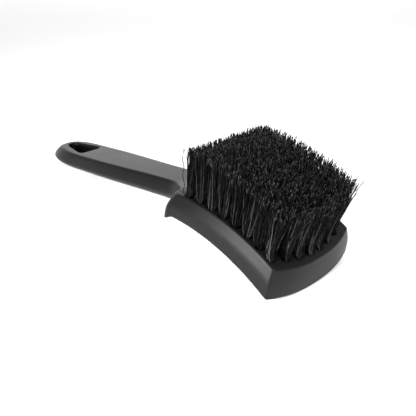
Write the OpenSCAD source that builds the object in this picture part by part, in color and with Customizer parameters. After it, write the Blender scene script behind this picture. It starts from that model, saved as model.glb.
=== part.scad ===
// Short-handled wheel brush: one moulded piece forms the handle and the arched block,
// and 64 tufts of bristle stand in blind holes, each held by a flat metal anchor.
// It lies on its back with the bristles up. X runs from the handle tip to the front,
// Y across the brush, Z up, with the origin under the middle of the whole brush.

/* [Overall] */
// Overall length, from the handle tip to the foremost bristle ends
overall_l = 229; // [225:1:250]
// Length of the moulded piece, from the handle tip to the front rim of the block
moulding_l = 223.2; // [218:0.1:236]

/* [Block] */
// Radius of the arch that the top face of the block follows, seen from the side
arch_r = 120; // [100:1:160]
// Rise of the top face where the arch begins, in degrees
arch_start = 3.1; // [0:0.1:5]
// Height of the top face where the arch begins
arch_top_z = 33.15; // [30:0.05:36]
// Length of each long side, measured along the arch
side_l = 67.4; // [60:0.1:75]
// How far the curved front bulges beyond the two front corners
front_bulge = 5.6; // [3:0.1:8]
// Power of the front curve: 2 is a parabola, more is squarer
front_power = 2.4; // [2:0.1:3]
// Width of the top face at its back
top_w_back = 56.2; // [50:0.1:62]
// Width of the top face at its front corners
top_w_front = 57.4; // [52:0.1:64]
// Height of the side wall at the back
wall_h_back = 11.6; // [9:0.1:14]
// Height of the side wall at the front
wall_h_front = 15.1; // [12:0.1:18]
// How far the side wall leans out at the back
wall_flare_back = 4.2; // [2:0.1:6]
// How far the side wall leans out at the front
wall_flare_front = 3; // [1:0.1:4]
// Share of the top face's slope that the walls follow: 0 is upright, 1 is square to the top
wall_tilt = 0.22; // [0:0.01:1]
// How far the front wall leans out at its foot
front_flare = 0.8; // [0:0.1:2]
// Radius of the two back corners, seen from above
back_corner_r = 5; // [3:0.5:8]
// How far the back wall leans out below its top edge
back_flare = 7.2; // [3:0.1:9]
// Extra height of the side wall where it turns round the back corners
beak_drop = 2.9; // [0:0.1:4]
// Extra lean of the side wall there
beak_flare = 0.5; // [0:0.1:1]
// Extra depth of the underside along the centre line at the back
camber_back = 6.6; // [4:0.1:8]
// Extra depth of the underside along the centre line at the front
camber_front = 0.2; // [0:0.1:1]

/* [Handle] */
// Height of the handle's top face at the tip
handle_top_z = 11; // [9:0.05:13]
// Slope of the handle's top face towards the block, in degrees
handle_slope = 6.8; // [5:0.1:8]
// Extra height of the top face at the very tip
tip_lift = 1.2; // [0:0.1:2]
// Width of the flat top face at its widest
handle_top_w = 23.6; // [20:0.1:26]
// Width of the flat top face at the neck
neck_top_w = 19.4; // [15:0.1:21]
// How far the handle widens on each side where it runs into the block
shoulder_w = 14.8; // [10:0.1:16]
// How far the handle's walls lean out on each side
handle_flare = 2; // [1:0.1:3]
// Height of the handle's side walls
handle_wall_h = 7.2; // [6:0.1:9]
// Depth of the rounded belly below the side walls, at the tip
belly_h_tip = 5.1; // [4:0.1:7]
// Depth of the rounded belly at the neck
belly_h_neck = 7; // [5:0.1:8]
// How far the top face stops short of the handle tip
nose_l = 8.7; // [6:0.1:12]
// Power of the tip's side view: 1 is straight from the top face down, more is rounder
nose_curve = 1.7; // [1:0.1:3]
// How far the middle of the belly stops short of the handle tip
belly_nose_l = 8.4; // [5:0.1:12]
// Length of the rounded stretch of the top face's outline at the tip
tip_round_l = 29; // [20:1:40]

/* [Hanging hole] */
// Distance from the handle tip to the end of the hole nearest the tip
hole_start = 13.8; // [12:0.1:17]
// Length of the hole along the handle
hole_l = 24; // [20:0.1:28]
// Width of the hole at the end nearest the block
hole_w = 14.6; // [10:0.1:16]
// Corner radius at the wide end
hole_corner_r = 2.4; // [1.5:0.1:3]
// Radius of the narrow end
hole_apex_r = 3.6; // [3:0.1:4.5]

/* [Tufts] */
// Rows of tufts from back to front
rows = 8; // [6:1:8]
// Tufts in each row
columns = 8; // [6:1:8]
// Distance of the first row from the start of the arch, along the arch
first_row = 7.4; // [6:0.1:9]
// Distance of the last row's corner tufts from the start of the arch
last_row = 62.1; // [58:0.1:63]
// How far the middle of the last row stands in front of its corners
row_bulge = 6.1; // [3:0.1:7]
// Width between the outermost tufts, centre to centre
tuft_span = 50.1; // [46:0.1:51]
// Diameter of a tuft hole
hole_d = 4.4; // [4:0.1:4.8]
// Depth of a tuft hole
hole_depth = 8; // [6:0.5:9]
// Free length of the bristles in the first row
bristle_l_back = 24.6; // [20:0.1:28]
// Free length of the bristles in the last row
bristle_l_front = 24.6; // [20:0.1:28]
// Forward lean of the first row, in degrees
lean_back = 7.7; // [2:0.1:12]
// Forward lean of the last row, in degrees
lean_front = 16.2; // [12:0.1:24]
// Sideways lean of all the tufts, towards -Y, in degrees
side_lean = 3; // [0:0.1:5]
// Outward lean of the outermost tufts, in degrees: less than 0 is inward
splay = -1; // [-2:0.1:5]
// Diameter of a tuft at its bristle ends
tuft_tip_d = 6.6; // [5:0.1:7]

/* [Anchors] */
// Width of the flat anchor across the tuft hole
anchor_w = 4.3; // [3.8:0.05:4.3]
// Height of the anchor
anchor_h = 1.8; // [1.2:0.1:2.5]
// Thickness of the anchor
anchor_t = 0.4; // [0.3:0.05:0.6]
// Room below the anchor, where the bristles fold round it
fold_room = 1; // [0.6:0.1:1.5]

/* [Hidden] */
// Play between a tuft and its hole, and between a tuft and its anchor
play = 0.02;
// Height of the anchor's middle, measured from the top face along the tuft
anchor_z = fold_room + anchor_h / 2 - hole_depth;
// Height above the top face at which a tuft begins to widen
collar = 0.6;
// Points along a side, round the front and round a back corner of one outline of the block
side_steps = 18;
front_steps = 12;
corner_steps = 5;
// Stretches along one outline of the handle
handle_steps = 34;

// Places along X
tip_x = -overall_l / 2;
front_x = tip_x + moulding_l;
front_pitch = arch_start - (side_l + front_bulge) / arch_r * 180 / PI;
arch_x0 = front_x - arch_r * (sin(arch_start) - sin(front_pitch));
ramp_start_x = arch_x0 - 22;
ramp_end_x = arch_x0 - 2.5;
shoulder_start_x = arch_x0 - 27;
handle_end_x = arch_x0 + 8;
waist_x = arch_x0 - 30;
broad_x = tip_x + 56;

// Share of the wall's flare that is left at its rounded bottom edge
foot_share = 0.8;
// The shape of the side wall from top edge to bottom edge: [share of height, share of flare]
WALL = [[0, -0.15], [0.05, 0.05], [0.4, 0.74], [0.48, 0.87], [0.6, 0.93], [0.94, 1], [1, foot_share]];
// The underside from edge to centre: [share drawn in from the edge, share of the camber]
UNDERSIDE = [[0.2, 0.28], [0.42, 0.62], [0.66, 0.88], [0.88, 0.99]];
// The handle's cross-section: [share of wall height, share of flare] down to the widest place
HANDLE_WALL = [[0, -0.3], [0.08, 0.05], [0.3, 0.34], [0.55, 0.6], [0.8, 0.84], [1, 1]];
// Places round the belly below the widest place, in degrees
BELLY = [22, 42, 62, 80];

outer_tufts = [for (r = [1:rows], c = [1:columns])
    if (r == 1 || r == rows || c == 1 || c == columns) [r, c]];

function mix(a, b, t) = a + (b - a) * t;
function clamp(t) = max(0, min(1, t));
function smooth(t) = clamp(t) * clamp(t) * (3 - 2 * clamp(t));

// The arch: slope, place and height of the top face at the distance s along it
function pitch(s) = arch_start - s / arch_r * 180 / PI;
function arch_x(s) = arch_x0 + arch_r * (sin(arch_start) - sin(pitch(s)));
function arch_z(s) = arch_top_z + arch_r * (cos(pitch(s)) - cos(arch_start));

// A point of the block: s along the arch, y across, depth below the top face
function block_point(s, y, depth) = [
    arch_x(s) + sin(wall_tilt * pitch(s)) * depth,
    y,
    arch_z(s) - cos(wall_tilt * pitch(s)) * depth];

function half_width(s) = mix(top_w_back, top_w_front, pow(clamp(s / side_l), 1.6)) / 2;
function beak(s) = 1 - smooth((s + back_flare) / 9);
function wall_flare(s) = mix(wall_flare_back, wall_flare_front, clamp(s / side_l)) + beak_flare * beak(s);
function wall_h(s) = mix(wall_h_back, wall_h_front, clamp(s / side_l)) + beak_drop * beak(s);
function camber(s) = mix(camber_front, camber_back, pow(1 - clamp(s / side_l), 1.5));

// Half of one level outline of the block as [s, y], from the back round the +Y side to the front
function block_outline(out, back) =
    let (s0 = -back, r = back_corner_r,
         w0 = half_width(0) + out * wall_flare(0),
         wf = half_width(side_l) + out * wall_flare(side_l))
    concat(
        [for (i = [0:corner_steps - 1]) let (a = 90 * i / corner_steps)
            [s0 + r - r * cos(a), w0 - r + r * sin(a)]],
        [for (i = [0:side_steps - 1]) let (s = mix(s0 + r, side_l, i / side_steps))
            [s, half_width(s) + out * wall_flare(s)]],
        [for (i = [0:front_steps]) let (t = mix(1, 0.02, i / front_steps))
            [side_l + front_bulge * (1 - pow(t, front_power)) + front_flare * max(0, out), wf * t]]);

function wall_level(v, out) = [for (p = block_outline(out, back_flare * (0.35 + 0.65 * sin(90 * v))))
    block_point(p[0], p[1], v * wall_h(p[0]))];

function underside_level(inset, deep) =
    let (mid = side_l / 2)
    [for (p = block_outline(foot_share, back_flare))
        let (s = mix(p[0], mid, inset * 0.5))
        block_point(s, p[1] * (1 - inset), wall_h(s) + deep * camber(s))];

// The handle's top face: a straight slope, lifted at the tip, and a ramp up to the block
function handle_line(x) = handle_top_z + (x - tip_x) * tan(handle_slope);
function ramp(x) = pow(clamp((x - ramp_start_x) / (ramp_end_x - ramp_start_x)), 2.2);
function handle_top(x) = handle_line(x) + tip_lift * (1 - smooth((x - tip_x) / 40))
    + ramp(x) * (arch_z(0) - 0.4 - handle_line(ramp_end_x));
function handle_half_w(x) = mix(handle_top_w, neck_top_w, smooth((x - broad_x) / (waist_x - broad_x))) / 2
    + shoulder_w * pow(clamp((x - shoulder_start_x) / (ramp_end_x - shoulder_start_x)), 2.2);
function belly_h(x) = mix(belly_h_tip, belly_h_neck, clamp((x - tip_x) / (waist_x - tip_x)));
function tip_shape(t) = pow(max(0, 1 - pow(clamp(t), 2.2)), 1 / 2.2);

// Half of one level outline of the handle: nose is how far it stops short of the tip
function handle_level(nose, out, scale_y, wall, belly) =
    let (x0 = tip_x + nose, xr = x0 + tip_round_l)
    [for (i = [0:handle_steps])
        let (t = pow(mix(0.012, 1, i / handle_steps), 1.7), x = mix(x0, handle_end_x, t))
        [x, (handle_half_w(x) + out) * tip_shape((xr - x) / tip_round_l) * scale_y,
            handle_top(x) - wall * handle_wall_h - belly * belly_h(x)]];

// A closed solid skinned over level outlines, highest first; each lists its +Y half
module skin(halves) {
    n = len(halves[0]);
    m = 2 * n;
    last = (len(halves) - 1) * m;
    points = [for (h = halves) each
        concat(h, [for (i = [n - 1:-1:0]) [h[i][0], -h[i][1], h[i][2]]])];
    walls = [for (k = [0:len(halves) - 2], i = [0:m - 1])
        let (a = k * m + i, b = k * m + (i + 1) % m)
        each [[b, a, a + m], [b, a + m, b + m]]];
    top = [for (i = [0:n - 2]) [i, i + 1, m - 2 - i, m - 1 - i]];
    bottom = [for (i = [0:n - 2]) [last + m - 1 - i, last + m - 2 - i, last + i + 1, last + i]];
    polyhedron(points, concat(walls, top, bottom), convexity = 6);
}

module block_solid() {
    skin(concat(
        [for (w = WALL) wall_level(w[0], w[1])],
        [for (u = UNDERSIDE) underside_level(u[0], u[1])]));
}

module handle_solid() {
    skin(concat(
        [for (w = HANDLE_WALL)
            handle_level(nose_l * pow(1 - w[0], nose_curve), w[1] * handle_flare, 1, w[0], 0)],
        [for (a = BELLY) handle_level(belly_nose_l * (1 - cos(a)), handle_flare, cos(a), 1, sin(a))]));
}

// Where two circles' outer tangent touches the first one, on the +Y side
function tangent_point(x, y, r, angle) = [x + r * cos(angle), y + r * sin(angle)];

module hanging_hole_outline() {
    apex_x = tip_x + hole_start + hole_apex_r;
    corner_x = tip_x + hole_start + hole_l - hole_corner_r;
    corner_y = hole_w / 2 - hole_corner_r;
    run = corner_x - apex_x;
    side_angle = atan2(corner_y, run) + acos((hole_apex_r - hole_corner_r) / norm([run, corner_y]));
    half = [
        tangent_point(apex_x, 0, hole_apex_r, side_angle),
        tangent_point(corner_x, corner_y, hole_corner_r, side_angle),
        [corner_x + hole_corner_r, corner_y]];
    translate([apex_x, 0]) circle(r = hole_apex_r, $fn = 48);
    for (side = [-1, 1]) translate([corner_x, side * corner_y]) circle(r = hole_corner_r, $fn = 48);
    polygon(concat([[apex_x, 0]], half, [for (i = [2:-1:0]) [half[i][0], -half[i][1]]]));
}

// Places the children at the tuft of row r and column c, with +Z along its bristles
module at_tuft(r, c) {
    across = mix(-1, 1, (c - 1) / (columns - 1));
    along = (r - 1) / (rows - 1);
    s = mix(first_row, last_row, along) + row_bulge * along * (1 - across * across);
    translate([arch_x(s), across * tuft_span / 2, arch_z(s)])
        rotate([side_lean - across * splay, 0, 0])
            rotate([0, mix(lean_back, lean_front, along), 0])
                children();
}

module handle_and_block() color([0.05, 0.05, 0.055]) difference() {
    union() {
        block_solid();
        handle_solid();
    }
    linear_extrude(height = 60, center = true) hanging_hole_outline();
    for (r = [1:rows], c = [1:columns])
        at_tuft(r, c) translate([0, 0, -hole_depth]) cylinder(d = hole_d, h = hole_depth + 2, $fn = 32);
}

module tuft(r, c) color([0.03, 0.03, 0.03]) {
    length = mix(bristle_l_back, bristle_l_front, (r - 1) / (rows - 1));
    shank_d = hole_d - 2 * play;
    at_tuft(r, c) difference() {
        union() {
            translate([0, 0, play - hole_depth]) cylinder(d = shank_d, h = hole_depth + collar, $fn = 32);
            translate([0, 0, collar])
                cylinder(d1 = shank_d, d2 = tuft_tip_d, h = length - collar, $fn = 32);
        }
        translate([0, 0, anchor_z])
            cube([anchor_t + 2 * play, hole_d + 1, anchor_h + 2 * play], center = true);
    }
}

module anchor(r, c) color([0.72, 0.62, 0.4])
    at_tuft(r, c) translate([0, 0, anchor_z]) cube([anchor_t, anchor_w, anchor_h], center = true);

handle_and_block();
for (t = outer_tufts)
    tuft(t[0], t[1]);
for (r = [2:rows - 1])
    for (c = [2:columns - 1]) tuft(r, c);
for (r = [1:rows])
    for (c = [1:columns]) anchor(r, c);
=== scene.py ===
import math

import bpy
import numpy as np
from mathutils import Matrix, Vector


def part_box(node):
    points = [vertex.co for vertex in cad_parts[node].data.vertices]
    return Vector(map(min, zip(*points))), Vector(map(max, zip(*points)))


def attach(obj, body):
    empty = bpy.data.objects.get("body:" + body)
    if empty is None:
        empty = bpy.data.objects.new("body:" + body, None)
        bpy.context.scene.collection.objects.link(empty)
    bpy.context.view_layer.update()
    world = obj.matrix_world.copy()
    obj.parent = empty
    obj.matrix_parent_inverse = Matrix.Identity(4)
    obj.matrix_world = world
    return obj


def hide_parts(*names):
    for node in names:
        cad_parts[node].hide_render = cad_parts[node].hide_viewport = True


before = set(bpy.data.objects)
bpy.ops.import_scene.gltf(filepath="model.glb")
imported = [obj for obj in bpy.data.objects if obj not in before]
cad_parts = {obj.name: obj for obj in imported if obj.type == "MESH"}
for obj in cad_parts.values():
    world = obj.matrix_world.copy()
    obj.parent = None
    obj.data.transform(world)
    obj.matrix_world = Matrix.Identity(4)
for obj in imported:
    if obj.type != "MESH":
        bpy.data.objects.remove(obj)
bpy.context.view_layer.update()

MM = 0.001
SEED = 20

# Overall
OVERALL_L = 229.0
MOULDING_L = 223.2
TIP_X = -OVERALL_L / 2
FRONT_X = TIP_X + MOULDING_L

# Block
ARCH_R = 120.0
ARCH_START = math.radians(3.1)
ARCH_TOP_Z = 33.15
SIDE_L = 67.4
FRONT_BULGE = 5.6
FRONT_POWER = 2.4
TOP_W_BACK, TOP_W_FRONT, TOP_W_CURVE = 56.2, 57.4, 1.6
WALL_H_BACK, WALL_H_FRONT = 11.6, 15.1
WALL_FLARE_BACK, WALL_FLARE_FRONT = 4.2, 3.0
WALL_TILT = 0.22
BEVEL_SLOPE = 1.87
LOWER_WALL_OUT, LOWER_WALL_SLOPE = 0.80, 0.21
BEVEL_BLEND = 0.3
BEAK_L, BEAK_DROP, BEAK_FLARE = 9.0, 2.9, 0.5
FRONT_FLARE = 0.8
BACK_CORNER_R = 5.0
BACK_FLARE, BACK_TOP_SHARE = 7.2, 0.35
CAMBER_BACK, CAMBER_FRONT = 6.6, 0.2
CAMBER_CURVE, CAMBER_FADE = 1.75, 1.5
FRONT_PITCH = ARCH_START - (SIDE_L + FRONT_BULGE) / ARCH_R
ARCH_X0 = FRONT_X - ARCH_R * (math.sin(ARCH_START) - math.sin(FRONT_PITCH))

# Handle
HANDLE_TOP_Z = 11.0
HANDLE_SLOPE = math.tan(math.radians(6.8))
TIP_LIFT, TIP_LIFT_L = 1.2, 40.0
HANDLE_TOP_W, NECK_TOP_W = 23.6, 19.4
HANDLE_FLARE, HANDLE_WALL_CURVE = 2.0, 1.15
HANDLE_WALL_H = 7.2
BELLY_H_TIP, BELLY_H_NECK = 5.1, 7.0
NOSE_L, BELLY_NOSE_L = 8.7, 8.4
NOSE_CURVE = 1.7
TIP_ROUND_L = 29.0
TIP_POWER = 2.2
BROAD_X, WAIST_X = TIP_X + 56, ARCH_X0 - 30
RAMP_START_X, RAMP_END_X = ARCH_X0 - 22, ARCH_X0 - 2.5
RAMP_CURVE, RAMP_DROP = 2.2, 0.4
SHOULDER_START_X, SHOULDER_W, SHOULDER_CURVE = ARCH_X0 - 27, 14.8, 2.2
HANDLE_END_X = ARCH_X0 + 8

# Hanging hole
HOLE_START, HOLE_L, HOLE_W = 13.8, 24.0, 14.6
HOLE_CORNER_R, HOLE_APEX_R = 2.4, 3.6

# Tufts
ROWS, COLUMNS = 8, 8
FIRST_ROW, LAST_ROW, ROW_BULGE = 7.4, 62.1, 6.1
TUFT_SPAN = 50.1
SOCKET_R, SOCKET_DEPTH = 2.2, 8.0
SOCKET_REACH_X, SOCKET_REACH_Y = 7, 4
BRISTLE_L = 24.6
LEAN_BACK, LEAN_FRONT = 7.7, 16.2
SIDE_LEAN, SPLAY = 3.0, -1.0

# Rounding of the moulding's edges and inner corners
TOP_EDGE_R = 0.8
FOOT_EDGE_R = 1.2
CREASE_R = 1.0
HANDLE_EDGE_R = 1.5
NECK_BLEND, NECK_BLEND_TOP = 4.0, 1.0
NECK_BLEND_L, NECK_BLEND_H = 9, 5
HOLE_EDGE_R = 1.6
SOCKET_EDGE_R = 0.5
GRID = 0.63

# Bristles: each is folded in two round its anchor
STRANDS = 68
FILAMENT_R = 0.17
THINNEST, THICKEST = 0.85, 1.1
SHORTER, LONGER = -0.5, 0.7
ROOT_R, ROOT_SCATTER = 1.65, 0.05
FOLD_GAP, FOLD_LIFT = 0.35, 0.35
BRISTLE_STEPS = 12

# How far the tips of a tuft spread, along and across the brush, and the share of it kept by the
# bristles on the open side of an outer tuft
TIP_SPREAD = np.array([4.9, 4.0])
BACK_SPREAD, FRONT_SPREAD, NEAR_SPREAD, FAR_SPREAD = 0.7, 0.3, 0.6, 1.25
OUTER_WIDEN = 1.12
# How early a tuft spreads: 1 is evenly all the way up, less is sooner
FLARE, OUTER_FLARE = 0.55, 0.42
# How far the tips stray across their neighbours
CROSS, NEAR_CROSS, FRONT_CROSS = 1.1, 1.4, 1.9
# How far the tips are pushed back at the front, and inwards at the back of the near side
FRONT_TUCK, FRONT_TUCK_LEAST, SIDE_TUCK = 2.0, 0.8, 1.6
FLICK = 0.5
WAVE_LEAST, WAVE_MOST = 0.08, 0.26
WAVE_L_LEAST, WAVE_L_MOST = 6.5, 11

# Lightness of the bristles: random numbers raised to a power, so that only a few are light. Painted
# light is added on top: the front row's strands are paler more often (painted highlights), a few cut
# tips are pale (painted glints), and the strands darken towards their tips (painted shade)
TONE_POWER, FRONT_HIGHLIGHT_POWER, TIP_GLINT_POWER = 8, 5, 8
FRONT_HIGHLIGHT_GAIN, TIP_GLINT_GAIN = 2.0, 1.6
TOP_SHADE = 0.8

# The loose bristle
STRAY_ROOT, STRAY_TIP = (-0.9, -0.9), (-3.4, -3.5)
STRAY_L, STRAY_STEPS, STRAY_THICKNESS, STRAY_TONE = 25.9, 40, 1.2, 0.1
STRAY_SWAY, STRAY_WAVES = 0.35, 3.2

# Where along the brush the painted shade on the plastic fades out: its colour is darkest on the handle,
# standing in for the darker reflections on the handle's sides, and gets paler up to the block
PAINTED_SHADE_FROM_X, PAINTED_SHADE_TO_X = ARCH_X0 - 20, ARCH_X0 + 60


def mix(a, b, t):
    return a + (b - a) * t


def clamp(t):
    return np.clip(t, 0.0, 1.0)


def smooth(t):
    t = clamp(t)
    return t * t * (3 - 2 * t)


def soft_max(a, b, r):
    """The larger of a and b, rounded over r where they meet."""
    h = np.maximum(r - np.abs(a - b), 0.0) / r
    return np.maximum(a, b) + h * h * r / 4


def soft_min(a, b, r):
    return -soft_max(-a, -b, r)


# ---------------------------------------------------------------- shape of the moulding


def pitch(s):
    return ARCH_START - s / ARCH_R


def arch_x(s):
    return ARCH_X0 + ARCH_R * (math.sin(ARCH_START) - np.sin(pitch(s)))


def arch_z(s):
    return ARCH_TOP_Z + ARCH_R * (np.cos(pitch(s)) - math.cos(ARCH_START))


def arch_place(x, z):
    """The distance along the arch and the depth below it of a point seen from the side."""
    top_x = x
    for _ in range(4):
        sine = math.sin(ARCH_START) - (top_x - ARCH_X0) / ARCH_R
        s = (ARCH_START - np.arcsin(np.clip(sine, -0.99, 0.99))) * ARCH_R
        depth = (arch_z(s) - z) / np.cos(WALL_TILT * pitch(s))
        top_x = x - np.sin(WALL_TILT * pitch(s)) * depth
    return s, depth


def block_field(x, y, z):
    """Roughly the distance outside the block, less than 0 inside."""
    s, depth = arch_place(x, z)
    along = clamp(s / SIDE_L)
    beak = 1 - smooth((s + BACK_FLARE) / BEAK_L)
    wall_h = mix(WALL_H_BACK, WALL_H_FRONT, along) + BEAK_DROP * beak
    share = clamp(depth / wall_h)
    out = soft_min(BEVEL_SLOPE * share, LOWER_WALL_OUT + LOWER_WALL_SLOPE * share, BEVEL_BLEND)
    flare = mix(WALL_FLARE_BACK, WALL_FLARE_FRONT, along) + BEAK_FLARE * beak
    half_w = mix(TOP_W_BACK, TOP_W_FRONT, along**TOP_W_CURVE) / 2 + out * flare
    back_s = -BACK_FLARE * (BACK_TOP_SHARE + (1 - BACK_TOP_SHARE) * np.sin(share * math.pi / 2))
    behind = back_s + BACK_CORNER_R - s
    beside = y - (half_w - BACK_CORNER_R)
    plan = np.hypot(np.maximum(behind, 0), np.maximum(beside, 0))
    plan += np.minimum(np.maximum(behind, beside), 0) - BACK_CORNER_R
    front_w = TOP_W_FRONT / 2 + out * WALL_FLARE_FRONT
    across = np.minimum(y / front_w, 1.2)
    front_s = SIDE_L + FRONT_BULGE * (1 - across**FRONT_POWER) + FRONT_FLARE * out
    front_slope = FRONT_BULGE * FRONT_POWER * across ** (FRONT_POWER - 1) / front_w
    d = soft_max(plan, (s - front_s) / np.hypot(1, front_slope), CREASE_R)
    d = soft_max(d, -depth, TOP_EDGE_R)
    inset_y = clamp(1 - y / half_w)
    inset_s = clamp(2 - 2 * np.abs(s - SIDE_L / 2) / (SIDE_L / 2 + BACK_FLARE))
    deep = (1 - (1 - inset_y) ** CAMBER_CURVE) * (1 - (1 - inset_s) ** CAMBER_CURVE)
    camber = mix(CAMBER_FRONT, CAMBER_BACK, (1 - along) ** CAMBER_FADE)
    return soft_max(d, depth - wall_h - deep * camber, FOOT_EDGE_R)


def handle_line(x):
    return HANDLE_TOP_Z + (x - TIP_X) * HANDLE_SLOPE


def handle_top(x):
    rise = clamp((x - RAMP_START_X) / (RAMP_END_X - RAMP_START_X)) ** RAMP_CURVE
    lift = TIP_LIFT * (1 - smooth((x - TIP_X) / TIP_LIFT_L))
    return handle_line(x) + lift + rise * (arch_z(0) - RAMP_DROP - handle_line(RAMP_END_X))


def handle_field(x, y, z):
    """Roughly the distance outside the handle, less than 0 inside."""
    depth = handle_top(x) - z
    share = clamp(depth / HANDLE_WALL_H)
    belly_h = mix(BELLY_H_TIP, BELLY_H_NECK, clamp((x - TIP_X) / (WAIST_X - TIP_X)))
    q = np.maximum(depth - HANDLE_WALL_H, 0) / belly_h
    nose = NOSE_L * (1 - share) ** NOSE_CURVE + BELLY_NOSE_L * (1 - np.sqrt(1 - np.minimum(q, 1) ** 2))
    spread = clamp((x - SHOULDER_START_X) / (RAMP_END_X - SHOULDER_START_X)) ** SHOULDER_CURVE
    half_w = mix(HANDLE_TOP_W, NECK_TOP_W, smooth((x - BROAD_X) / (WAIST_X - BROAD_X))) / 2
    half_w = half_w + SHOULDER_W * spread + HANDLE_FLARE * (1 - (1 - share) ** HANDLE_WALL_CURVE)
    ty = y / half_w
    tx = np.maximum(TIP_X + nose + TIP_ROUND_L - x, 0) / TIP_ROUND_L
    plan = np.maximum(ty**TIP_POWER + tx**TIP_POWER, 1e-9) ** (1 / TIP_POWER)
    ratio = np.maximum(plan, 0.3) ** (1 - TIP_POWER)
    slope = np.hypot(ty ** (TIP_POWER - 1) / half_w, tx ** (TIP_POWER - 1) / TIP_ROUND_L) * ratio
    whole = np.hypot(plan, q)
    steep = np.hypot(plan * slope, q / belly_h) / np.maximum(whole, 0.3)
    d = (whole - 1) / np.maximum(steep, 0.04)
    return np.maximum(soft_max(d, -depth, HANDLE_EDGE_R), x - HANDLE_END_X)


def hole_field(x, y):
    """The distance outside the outline of the hanging hole: a triangle with round corners."""
    apex_x = TIP_X + HOLE_START + HOLE_APEX_R
    base_x = TIP_X + HOLE_START + HOLE_L - HOLE_CORNER_R
    corner_y = HOLE_W / 2 - HOLE_CORNER_R
    edge = np.array([base_x - apex_x, corner_y])
    t = clamp(((x - apex_x) * edge[0] + y * edge[1]) / (edge @ edge))
    to_side = np.hypot(x - apex_x - t * edge[0], y - t * edge[1])
    to_base = np.hypot(x - base_x, np.maximum(y - corner_y, 0))
    within = ((x - apex_x) * edge[1] - y * edge[0] > 0) & (x < base_x) & (y < corner_y)
    core = np.minimum(to_side, to_base)
    radius = mix(HOLE_APEX_R, HOLE_CORNER_R, clamp((x - apex_x) / edge[0]))
    return np.where(within, -core, core) - radius


def tuft_frame(row, column):
    """The middle of a tuft's hole at the top face, and its axes as columns: the last is along it."""
    across = mix(-1, 1, (column - 1) / (COLUMNS - 1))
    along = (row - 1) / (ROWS - 1)
    s = mix(FIRST_ROW, LAST_ROW, along) + ROW_BULGE * along * (1 - across * across)
    base = np.array([arch_x(s), across * TUFT_SPAN / 2, arch_z(s)])
    sideways = Matrix.Rotation(math.radians(SIDE_LEAN - across * SPLAY), 3, "X")
    forward = Matrix.Rotation(math.radians(mix(LEAN_BACK, LEAN_FRONT, along)), 3, "Y")
    return base, np.array(sideways @ forward)


TUFTS = {(r, c): tuft_frame(r, c) for r in range(1, ROWS + 1) for c in range(1, COLUMNS + 1)}


def moulding_field(p):
    """Roughly the distance outside the whole moulding, at the points p."""
    x, y, z = p[:, 0], np.abs(p[:, 1]), p[:, 2]
    fillet = mix(NECK_BLEND, NECK_BLEND_TOP, smooth((x - ARCH_X0 + BACK_FLARE) / NECK_BLEND_L))
    fillet = mix(NECK_BLEND_TOP, fillet, clamp((handle_top(x) - z) / NECK_BLEND_H))
    d = soft_min(block_field(x, y, z), handle_field(x, y, z), fillet)
    d = soft_max(d, -hole_field(x, y), HOLE_EDGE_R)
    for base, axes in TUFTS.values():
        apart = np.abs(p[:, :2] - base[:2])
        near = np.flatnonzero((apart[:, 0] < SOCKET_REACH_X) & (apart[:, 1] < SOCKET_REACH_Y))
        if not len(near):
            continue
        local = (p[near] - base) @ axes
        socket = np.maximum(np.hypot(local[:, 0], local[:, 1]) - SOCKET_R, -local[:, 2] - SOCKET_DEPTH)
        d[near] = soft_max(d[near], -socket, SOCKET_EDGE_R)
    return d


def slopes(field, p, reach=0.04):
    """The gradient of a field at the points p."""
    sides = [field(p + step) - field(p - step) for step in np.eye(3) * reach]
    return np.stack(sides, 1) / (2 * reach)


def surface_net(field, low, high, step):
    """Points and quads of the surface where the field is 0, from a grid of that step."""
    axes = [np.arange(a - 2 * step, b + 3 * step, step) for a, b in zip(low, high)]
    shape = tuple(len(a) for a in axes)
    values = np.empty(shape)
    side = np.stack(np.meshgrid(axes[1], axes[2], indexing="ij"), -1).reshape(-1, 2)
    for i in range(0, shape[0], 8):
        slab = axes[0][i:i + 8]
        p = np.column_stack([np.repeat(slab, len(side)), np.tile(side, (len(slab), 1))])
        values[i:i + 8] = field(p).reshape(len(slab), *shape[1:])
    total, count = np.zeros((values.size, 3)), np.zeros(values.size)
    strides = np.array([shape[1] * shape[2], shape[2], 1])
    flat = values.ravel()
    quads = []
    for axis in range(3):
        u, v = strides[(axis + 1) % 3], strides[(axis + 2) % 3]
        inside = values < 0
        ahead = np.take(inside, range(1, shape[axis]), axis)
        crossed = ahead != np.take(inside, range(shape[axis] - 1), axis)
        node = np.stack(np.nonzero(crossed), 1)
        at = node @ strides
        t = flat[at] / (flat[at] - flat[at + strides[axis]])
        point = node.astype(float)
        point[:, axis] += t
        cells = [at - u - v, at - v, at, at - u]
        for cell in cells:
            np.add.at(total, cell, point)
            np.add.at(count, cell, 1)
        ring = np.stack(cells, 1)
        quads.append(np.where((flat[at] < 0)[:, None], ring, ring[:, ::-1]))
    used = np.flatnonzero(count)
    index = np.full(values.size, -1)
    index[used] = np.arange(len(used))
    points = total[used] / count[used, None] * step + [a[0] for a in axes]
    return points, index[np.concatenate(quads)]


def onto_surface(field, p, step):
    """Moves the points p onto the surface where the field is 0."""
    for _ in range(4):
        g = slopes(field, p)
        length = np.maximum(np.linalg.norm(g, axis=1), 0.2)
        move = np.clip(field(p) / length, -step / 2, step / 2)
        p = p - g / length[:, None] * move[:, None]
    return p


# ---------------------------------------------------------------- meshes


def mesh_piece(name, points, faces, material, nodes):
    """A piece that rides on the root body and stands for CAD nodes. Points are in millimetres."""
    mesh = bpy.data.meshes.new(name)
    mesh.from_pydata((points * MM).tolist(), [], faces)
    mesh.validate()
    mesh.shade_smooth()
    mesh.materials.append(material)
    piece = bpy.data.objects.new(name, mesh)
    bpy.context.scene.collection.objects.link(piece)
    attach(piece, "root")
    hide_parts(*nodes)
    return piece


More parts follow.
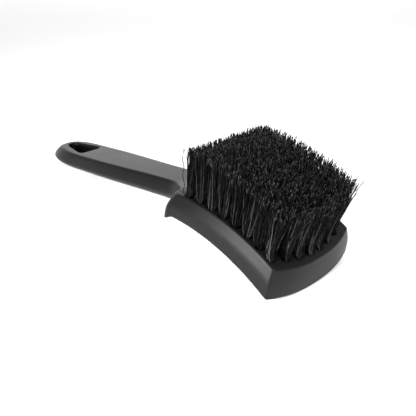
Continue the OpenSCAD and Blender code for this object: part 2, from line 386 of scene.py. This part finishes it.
def make_moulding(material):
    low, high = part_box("handle_and_block")
    points, quads = surface_net(moulding_field, Vector(low) / MM, Vector(high) / MM, GRID)
    points = onto_surface(moulding_field, points, GRID)
    piece = mesh_piece("moulding", points, quads.tolist(), material, ["handle_and_block"])
    normals = slopes(moulding_field, points)
    normals /= np.linalg.norm(normals, axis=1)[:, None]
    piece.data.normals_split_custom_set_from_vertices(normals.tolist())
    return piece


def tube(path, radius, sides=4):
    """Points and faces of a closed tube along a path, which may have a radius at each of its points."""
    tangent = np.gradient(path, axis=0)
    tangent /= np.linalg.norm(tangent, axis=1)[:, None]
    first = np.cross(tangent, [0.31, 0.87, 0.38])
    first /= np.linalg.norm(first, axis=1)[:, None]
    second = np.cross(tangent, first)
    angle = np.arange(sides) / sides * 2 * math.pi
    ring = first[:, None] * np.cos(angle)[:, None] + second[:, None] * np.sin(angle)[:, None]
    points = path[:, None] + ring * np.broadcast_to(radius, len(path))[:, None, None]
    i = np.arange(len(path) - 1)[:, None] * sides
    j = np.arange(sides)
    k = (j + 1) % sides
    walls = np.stack([i + j, i + k, i + k + sides, i + j + sides], -1).reshape(-1, 4).tolist()
    last = (len(path) - 1) * sides
    return points.reshape(-1, 3), walls + [j[::-1].tolist(), (j + last).tolist()]


def half_disc(count):
    """Places evenly over the half of a disc of radius 1 where x is more than 0."""
    i = np.arange(4 * count)
    r = np.sqrt((i + 0.5) / (2 * count))
    angle = i * math.pi * (3 - math.sqrt(5))
    spots = np.column_stack([r * np.cos(angle), r * np.sin(angle)])
    spots = spots[(r <= 1) & (spots[:, 0] > 0)]
    return spots[:count]


def bristle_end(root, tip, flare, cross, rng):
    """The path of one free end of a bristle, in its tuft's frame, from the top face to its cut tip."""
    length = BRISTLE_L + rng.uniform(SHORTER, LONGER)
    t = np.linspace(0, 1, BRISTLE_STEPS)[:, None]
    stray = rng.normal(0, cross, 2)
    flick = rng.normal(0, FLICK, 2)
    wave = rng.normal(0, 1, 2)
    wave *= rng.uniform(WAVE_LEAST, WAVE_MOST) / np.linalg.norm(wave)
    waves = length / rng.uniform(WAVE_L_LEAST, WAVE_L_MOST)
    sway = np.sin(2 * math.pi * (waves * t + rng.uniform())) * smooth(t * 4)
    offset = mix(root, tip, t**flare) + stray * t**1.2 + flick * t**5 + wave * sway
    return np.column_stack([offset, length * t])


def tip_tuck(row, column):
    """How far a tuft's tips are pushed along and across the brush, strongest near the near side."""
    near = max(0, 1 - (column - 1) / 3)
    along = -FRONT_TUCK * max(FRONT_TUCK_LEAST, near) * max(0, row - ROWS + 2) / 2
    return [along, SIDE_TUCK * near * max(0, 1 - (row - 1) / 3)]


def folded(spot):
    """The part of a bristle that passes under the anchor."""
    spot = spot * ROOT_R + [FOLD_GAP, 0]
    low = -SOCKET_DEPTH + FOLD_LIFT
    return [[*(spot * [0.9, 1]), low + 1], [0, spot[1], low], [*(spot * [-0.9, 1]), low + 1]]


def tuft_strands(row, column):
    """The bristles of one tuft: each is folded under the anchor and has two free ends."""
    base, axes = TUFTS[row, column]
    rng = np.random.default_rng([SEED, row, column])
    back, front, near, far = row == 1, row == ROWS, column == 1, column == COLUMNS
    outward = np.array([front - back, far - near])
    outer = np.array([FRONT_SPREAD if front else BACK_SPREAD, NEAR_SPREAD if near else FAR_SPREAD])
    widen = np.where([near, front], OUTER_WIDEN, 1.0)
    flare = OUTER_FLARE if front or near else FLARE
    cross = FRONT_CROSS if front else NEAR_CROSS if near and not back else CROSS
    # The front row's strands are made paler more often, as painted highlights on the front of the brush
    tone_power, highlight_gain = (FRONT_HIGHLIGHT_POWER, FRONT_HIGHLIGHT_GAIN) if front else (TONE_POWER, 1)
    tuck = tip_tuck(row, column)
    points, faces, tones = [], [], []
    for spot in half_disc(STRANDS):
        ends = []
        for flip in (1, -1):
            place = spot * [flip, 1]
            root = place * ROOT_R + [flip * FOLD_GAP, 0] + rng.normal(0, ROOT_SCATTER, 2)
            reach = np.where(place * outward > 0, outer, widen) * TIP_SPREAD
            ends.append(bristle_end(root, place * reach + tuck, flare, cross, rng))
        path = np.concatenate([ends[0][::-1], folded(spot), ends[1]]) @ axes.T + base
        tube_points, tube_faces = tube(path, FILAMENT_R * rng.uniform(THINNEST, THICKEST))
        start = sum(len(p) for p in points)
        points.append(tube_points)
        faces += [[start + i for i in face] for face in tube_faces]
        height = clamp(path[:, 2] / path[:, 2].max())
        # Random lightness, times the painted highlight gain on the front row, darkened towards the tips
        # as painted shade
        tone = highlight_gain * rng.uniform() ** tone_power * (1 - TOP_SHADE * height**3)
        # Painted glints: a few of the cut tips are made pale
        tone[[0, -1]] += TIP_GLINT_GAIN * rng.uniform(0, 1, 2) ** TIP_GLINT_POWER
        tones.append(np.repeat(tone, len(tube_points) // len(path)))
    return np.concatenate(points), faces, np.concatenate(tones)


def stray_bristle():
    """One bent bristle that stands clear of the back corner tuft."""
    base, axes = TUFTS[1, 1]
    t = np.linspace(0, 1, STRAY_STEPS)[:, None]
    sway = np.sin(2 * math.pi * (STRAY_WAVES * t + 0.1)) * smooth(t * 6) * STRAY_SWAY
    offset = mix(np.array(STRAY_ROOT), np.array(STRAY_TIP), t**0.45) + sway * [0.7, 0.7]
    path = np.column_stack([offset, mix(-SOCKET_DEPTH / 2, STRAY_L, t)]) @ axes.T + base
    points, faces = tube(path, FILAMENT_R * STRAY_THICKNESS)
    return points, faces, np.full(len(points), STRAY_TONE)


def make_tufts(name, places, material):
    """The bristles of the tufts in one CAD node, as one mesh with a lightness at each point."""
    points, faces, tones = [], [], []
    start = 0
    bundles = [tuft_strands(row, column) for row, column in places]
    if (1, 1) in places:
        bundles.append(stray_bristle())
    for tuft_points, tuft_faces, tuft_tones in bundles:
        points.append(tuft_points)
        faces += [[start + i for i in face] for face in tuft_faces]
        tones.append(tuft_tones)
        start += len(tuft_points)
    piece = mesh_piece("bristles_" + name, np.concatenate(points), faces, material, [name])
    tone = piece.data.attributes.new("tone", "FLOAT", "POINT")
    tone.data.foreach_set("value", np.concatenate(tones).astype(np.float32))
    return piece


# ---------------------------------------------------------------- materials


class Nodes:
    """A material's node tree, with short ways to add and join nodes."""

    def __init__(self, name):
        self.material = bpy.data.materials.new(name)
        self.material.use_nodes = True
        self.tree = self.material.node_tree
        self.shader = self.tree.nodes["Principled BSDF"]

    def add(self, kind, links=None, **settings):
        node = self.tree.nodes.new("ShaderNode" + kind)
        for key, value in settings.items():
            if hasattr(node, key):
                setattr(node, key, value)
            else:
                node.inputs[key.replace("_", " ")].default_value = value
        for socket, source in (links or {}).items():
            self.tree.links.new(source, node.inputs[socket])
        return node

    def join(self, source, socket):
        self.tree.links.new(source, self.shader.inputs[socket])

    def place(self):
        return self.add("TexCoord").outputs["Object"]

    def noise(self, scale, detail=2.0, roughness=0.5):
        links = {"Vector": self.place()}
        return self.add("TexNoise", links, Scale=scale, Detail=detail, Roughness=roughness)

    def ramp(self, source, low, high, dark, light):
        """A ramp from dark at low to light at high."""
        node = self.add("ValToRGB", {"Fac": source})
        for element, at, colour in zip(node.color_ramp.elements, (low, high), (dark, light)):
            element.position = at
            element.color = (*colour, 1) if len(colour) == 3 else colour
        return node.outputs["Color"]

    def span(self, source, low, high):
        """Maps 0 to 1 onto low to high."""
        return self.add("MapRange", {"Value": source}, To_Min=low, To_Max=high).outputs["Result"]

    def bump(self, height, strength, distance, below=None):
        links = {"Height": height}
        if below is not None:
            links["Normal"] = below
        return self.add("Bump", links, Strength=strength, Distance=distance).outputs["Normal"]


def grey(value):
    return (value, value, value * 1.03)


def moulded_plastic():
    n = Nodes("moulded_plastic")
    broad, grain, fine = n.noise(45, 3), n.noise(900, 2), n.noise(2600, 1)
    along = n.add("SeparateXYZ", {"Vector": n.place()}).outputs["X"]
    # Painted shade: the base colour is darker along the handle than on the block, standing in for the
    # handle's darker reflections; a random cloud of tone is multiplied in
    painted_shade = n.add("MapRange", {"Value": along}, From_Min=PAINTED_SHADE_FROM_X * MM,
                    From_Max=PAINTED_SHADE_TO_X * MM, To_Min=0.0008, To_Max=0.006)
    cloud = n.span(broad.outputs["Fac"], 0.8, 1.2)
    shade = n.add("Math", {0: painted_shade.outputs["Result"], 1: cloud}, operation="MULTIPLY")
    n.join(shade.outputs["Value"], "Base Color")
    blotch = n.span(broad.outputs["Fac"], 0.33, 0.41)
    speckle = n.span(grain.outputs["Fac"], -0.03, 0.03)
    rough = n.add("Math", {0: blotch, 1: speckle}, operation="ADD")
    n.join(rough.outputs["Value"], "Roughness")
    grained = n.bump(grain.outputs["Fac"], 0.12, 0.0001)
    n.join(n.bump(fine.outputs["Fac"], 0.10, 0.00005, grained), "Normal")
    n.shader.inputs["Specular IOR Level"].default_value = 0.12
    return n.material


def bristle_nylon():
    n = Nodes("bristle_nylon")
    # The tone attribute holds each strand's random lightness together with painted highlights, painted
    # glints and painted shade
    tone = n.add("Attribute", attribute_name="tone").outputs["Fac"]
    streak = n.noise(700, 2)
    mixed = n.add("Math", {0: tone, 1: streak.outputs["Fac"]}, operation="MULTIPLY")
    n.join(n.ramp(mixed.outputs["Value"], 0.0, 0.6, grey(0.0004), grey(0.066)), "Base Color")
    n.join(n.span(streak.outputs["Fac"], 0.34, 0.52), "Roughness")
    n.join(n.bump(streak.outputs["Fac"], 0.25, 0.00004), "Normal")
    n.shader.inputs["Specular IOR Level"].default_value = 0.04
    return n.material


def brass_strip():
    n = Nodes("brass_strip")
    rolled = n.noise(1200, 3)
    n.join(n.ramp(rolled.outputs["Fac"], 0.3, 0.7, (0.55, 0.44, 0.22), (0.78, 0.66, 0.40)), "Base Color")
    n.join(n.span(rolled.outputs["Fac"], 0.25, 0.42), "Roughness")
    n.join(n.bump(rolled.outputs["Fac"], 0.2, 0.00002), "Normal")
    n.shader.inputs["Metallic"].default_value = 1.0
    return n.material


def floor_paint():
    n = Nodes("floor_paint")
    cloud = n.noise(3, 2)
    n.join(n.ramp(cloud.outputs["Fac"], 0.2, 0.8, (0.91, 0.91, 0.91), (0.94, 0.94, 0.94)), "Base Color")
    n.shader.inputs["Roughness"].default_value = 0.9
    return n.material


# ---------------------------------------------------------------- floor, lights and camera

AIM = Vector((0.0334, 0.0004, 0.0129))
VIEW_AZIMUTH, VIEW_ELEVATION, VIEW_ROLL = 45.24, 26.89, 0.63
VIEW_DISTANCE = 0.3273
LENS = 51.64


def towards(azimuth, elevation):
    """The direction from the object to a viewer: azimuth 0 stands on the -Y side, 90 on the +X side."""
    a, e = math.radians(azimuth), math.radians(elevation)
    return Vector((math.sin(a) * math.cos(e), -math.cos(a) * math.cos(e), math.sin(e)))


def make_camera():
    camera = bpy.data.objects.new("camera", bpy.data.cameras.new("camera"))
    camera.data.lens = LENS
    camera.data.sensor_width = 36
    camera.data.clip_start = 0.01
    back = towards(VIEW_AZIMUTH, VIEW_ELEVATION)
    turn = (-back).to_track_quat("-Z", "Y").to_matrix().to_4x4()
    roll = Matrix.Rotation(math.radians(VIEW_ROLL), 4, "Z")
    camera.matrix_world = Matrix.Translation(AIM + back * VIEW_DISTANCE) @ turn @ roll
    bpy.context.scene.collection.objects.link(camera)
    bpy.context.scene.camera = camera


def area_light(name, azimuth, elevation, distance, size, power, spread=180):
    light = bpy.data.lights.new(name, "AREA")
    light.shape = "RECTANGLE"
    light.size, light.size_y = size
    light.energy = power
    light.spread = math.radians(spread)
    lamp = bpy.data.objects.new(name, light)
    back = towards(azimuth, elevation)
    lamp.location = AIM + back * distance
    lamp.rotation_mode = "QUATERNION"
    lamp.rotation_quaternion = back.to_track_quat("Z", "Y")
    bpy.context.scene.collection.objects.link(lamp)


def make_backdrop():
    """A studio that is bright low down behind the brush and dim elsewhere."""
    world = bpy.data.worlds.new("studio")
    world.use_nodes = True
    tree = world.node_tree
    direction = tree.nodes.new("ShaderNodeTexCoord").outputs["Generated"]
    ahead = tree.nodes.new("ShaderNodeVectorMath")
    ahead.operation = "DOT_PRODUCT"
    tree.links.new(direction, ahead.inputs[0])
    ahead.inputs[1].default_value = towards(229, -10)
    span = tree.nodes.new("ShaderNodeMapRange")
    tree.links.new(ahead.outputs["Value"], span.inputs["Value"])
    for socket, value in (("From Min", -0.2), ("From Max", 0.6), ("To Min", 0.2), ("To Max", 1.4)):
        span.inputs[socket].default_value = value
    background = tree.nodes["Background"]
    background.inputs["Color"].default_value = (1, 1, 1, 1)
    tree.links.new(span.outputs["Result"], background.inputs["Strength"])
    bpy.context.scene.world = world


def make_stage():
    half = 4.0
    corners = [(-half, -half, 0), (half, -half, 0), (half, half, 0), (-half, half, 0)]
    mesh = bpy.data.meshes.new("floor")
    mesh.from_pydata(corners, [], [(0, 1, 2, 3)])
    mesh.materials.append(floor_paint())
    floor = bpy.data.objects.new("floor", mesh)
    bpy.context.scene.collection.objects.link(floor)
    make_backdrop()
    area_light("back_left", 229, 20, distance=1.1, size=(1.4, 0.7), power=2.8)
    area_light("key", 40, 62, distance=0.8, size=(0.7, 0.7), power=3.9)
    area_light("front", 78, 30, distance=0.8, size=(0.3, 0.3), power=0.5, spread=60)
    area_light("near_side", -2, 18, distance=0.7, size=(0.36, 0.36), power=2.4, spread=60)
    bpy.context.scene.view_settings.view_transform = "Standard"


make_camera()
make_stage()
make_moulding(moulded_plastic())
nylon = bristle_nylon()
OUTER = [(r, c) for r, c in TUFTS if r in (1, ROWS) or c in (1, COLUMNS)]
for r, c in OUTER:
    make_tufts(f"tuft_r{r}_c{c}", [(r, c)], nylon)
for r in range(2, ROWS):
    make_tufts(f"tufts_r{r}_inner", [(r, c) for c in range(2, COLUMNS)], nylon)
brass = brass_strip()
for r in range(1, ROWS + 1):
    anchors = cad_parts[f"anchors_r{r}"]
    anchors.data.materials.clear()
    anchors.data.materials.append(brass)
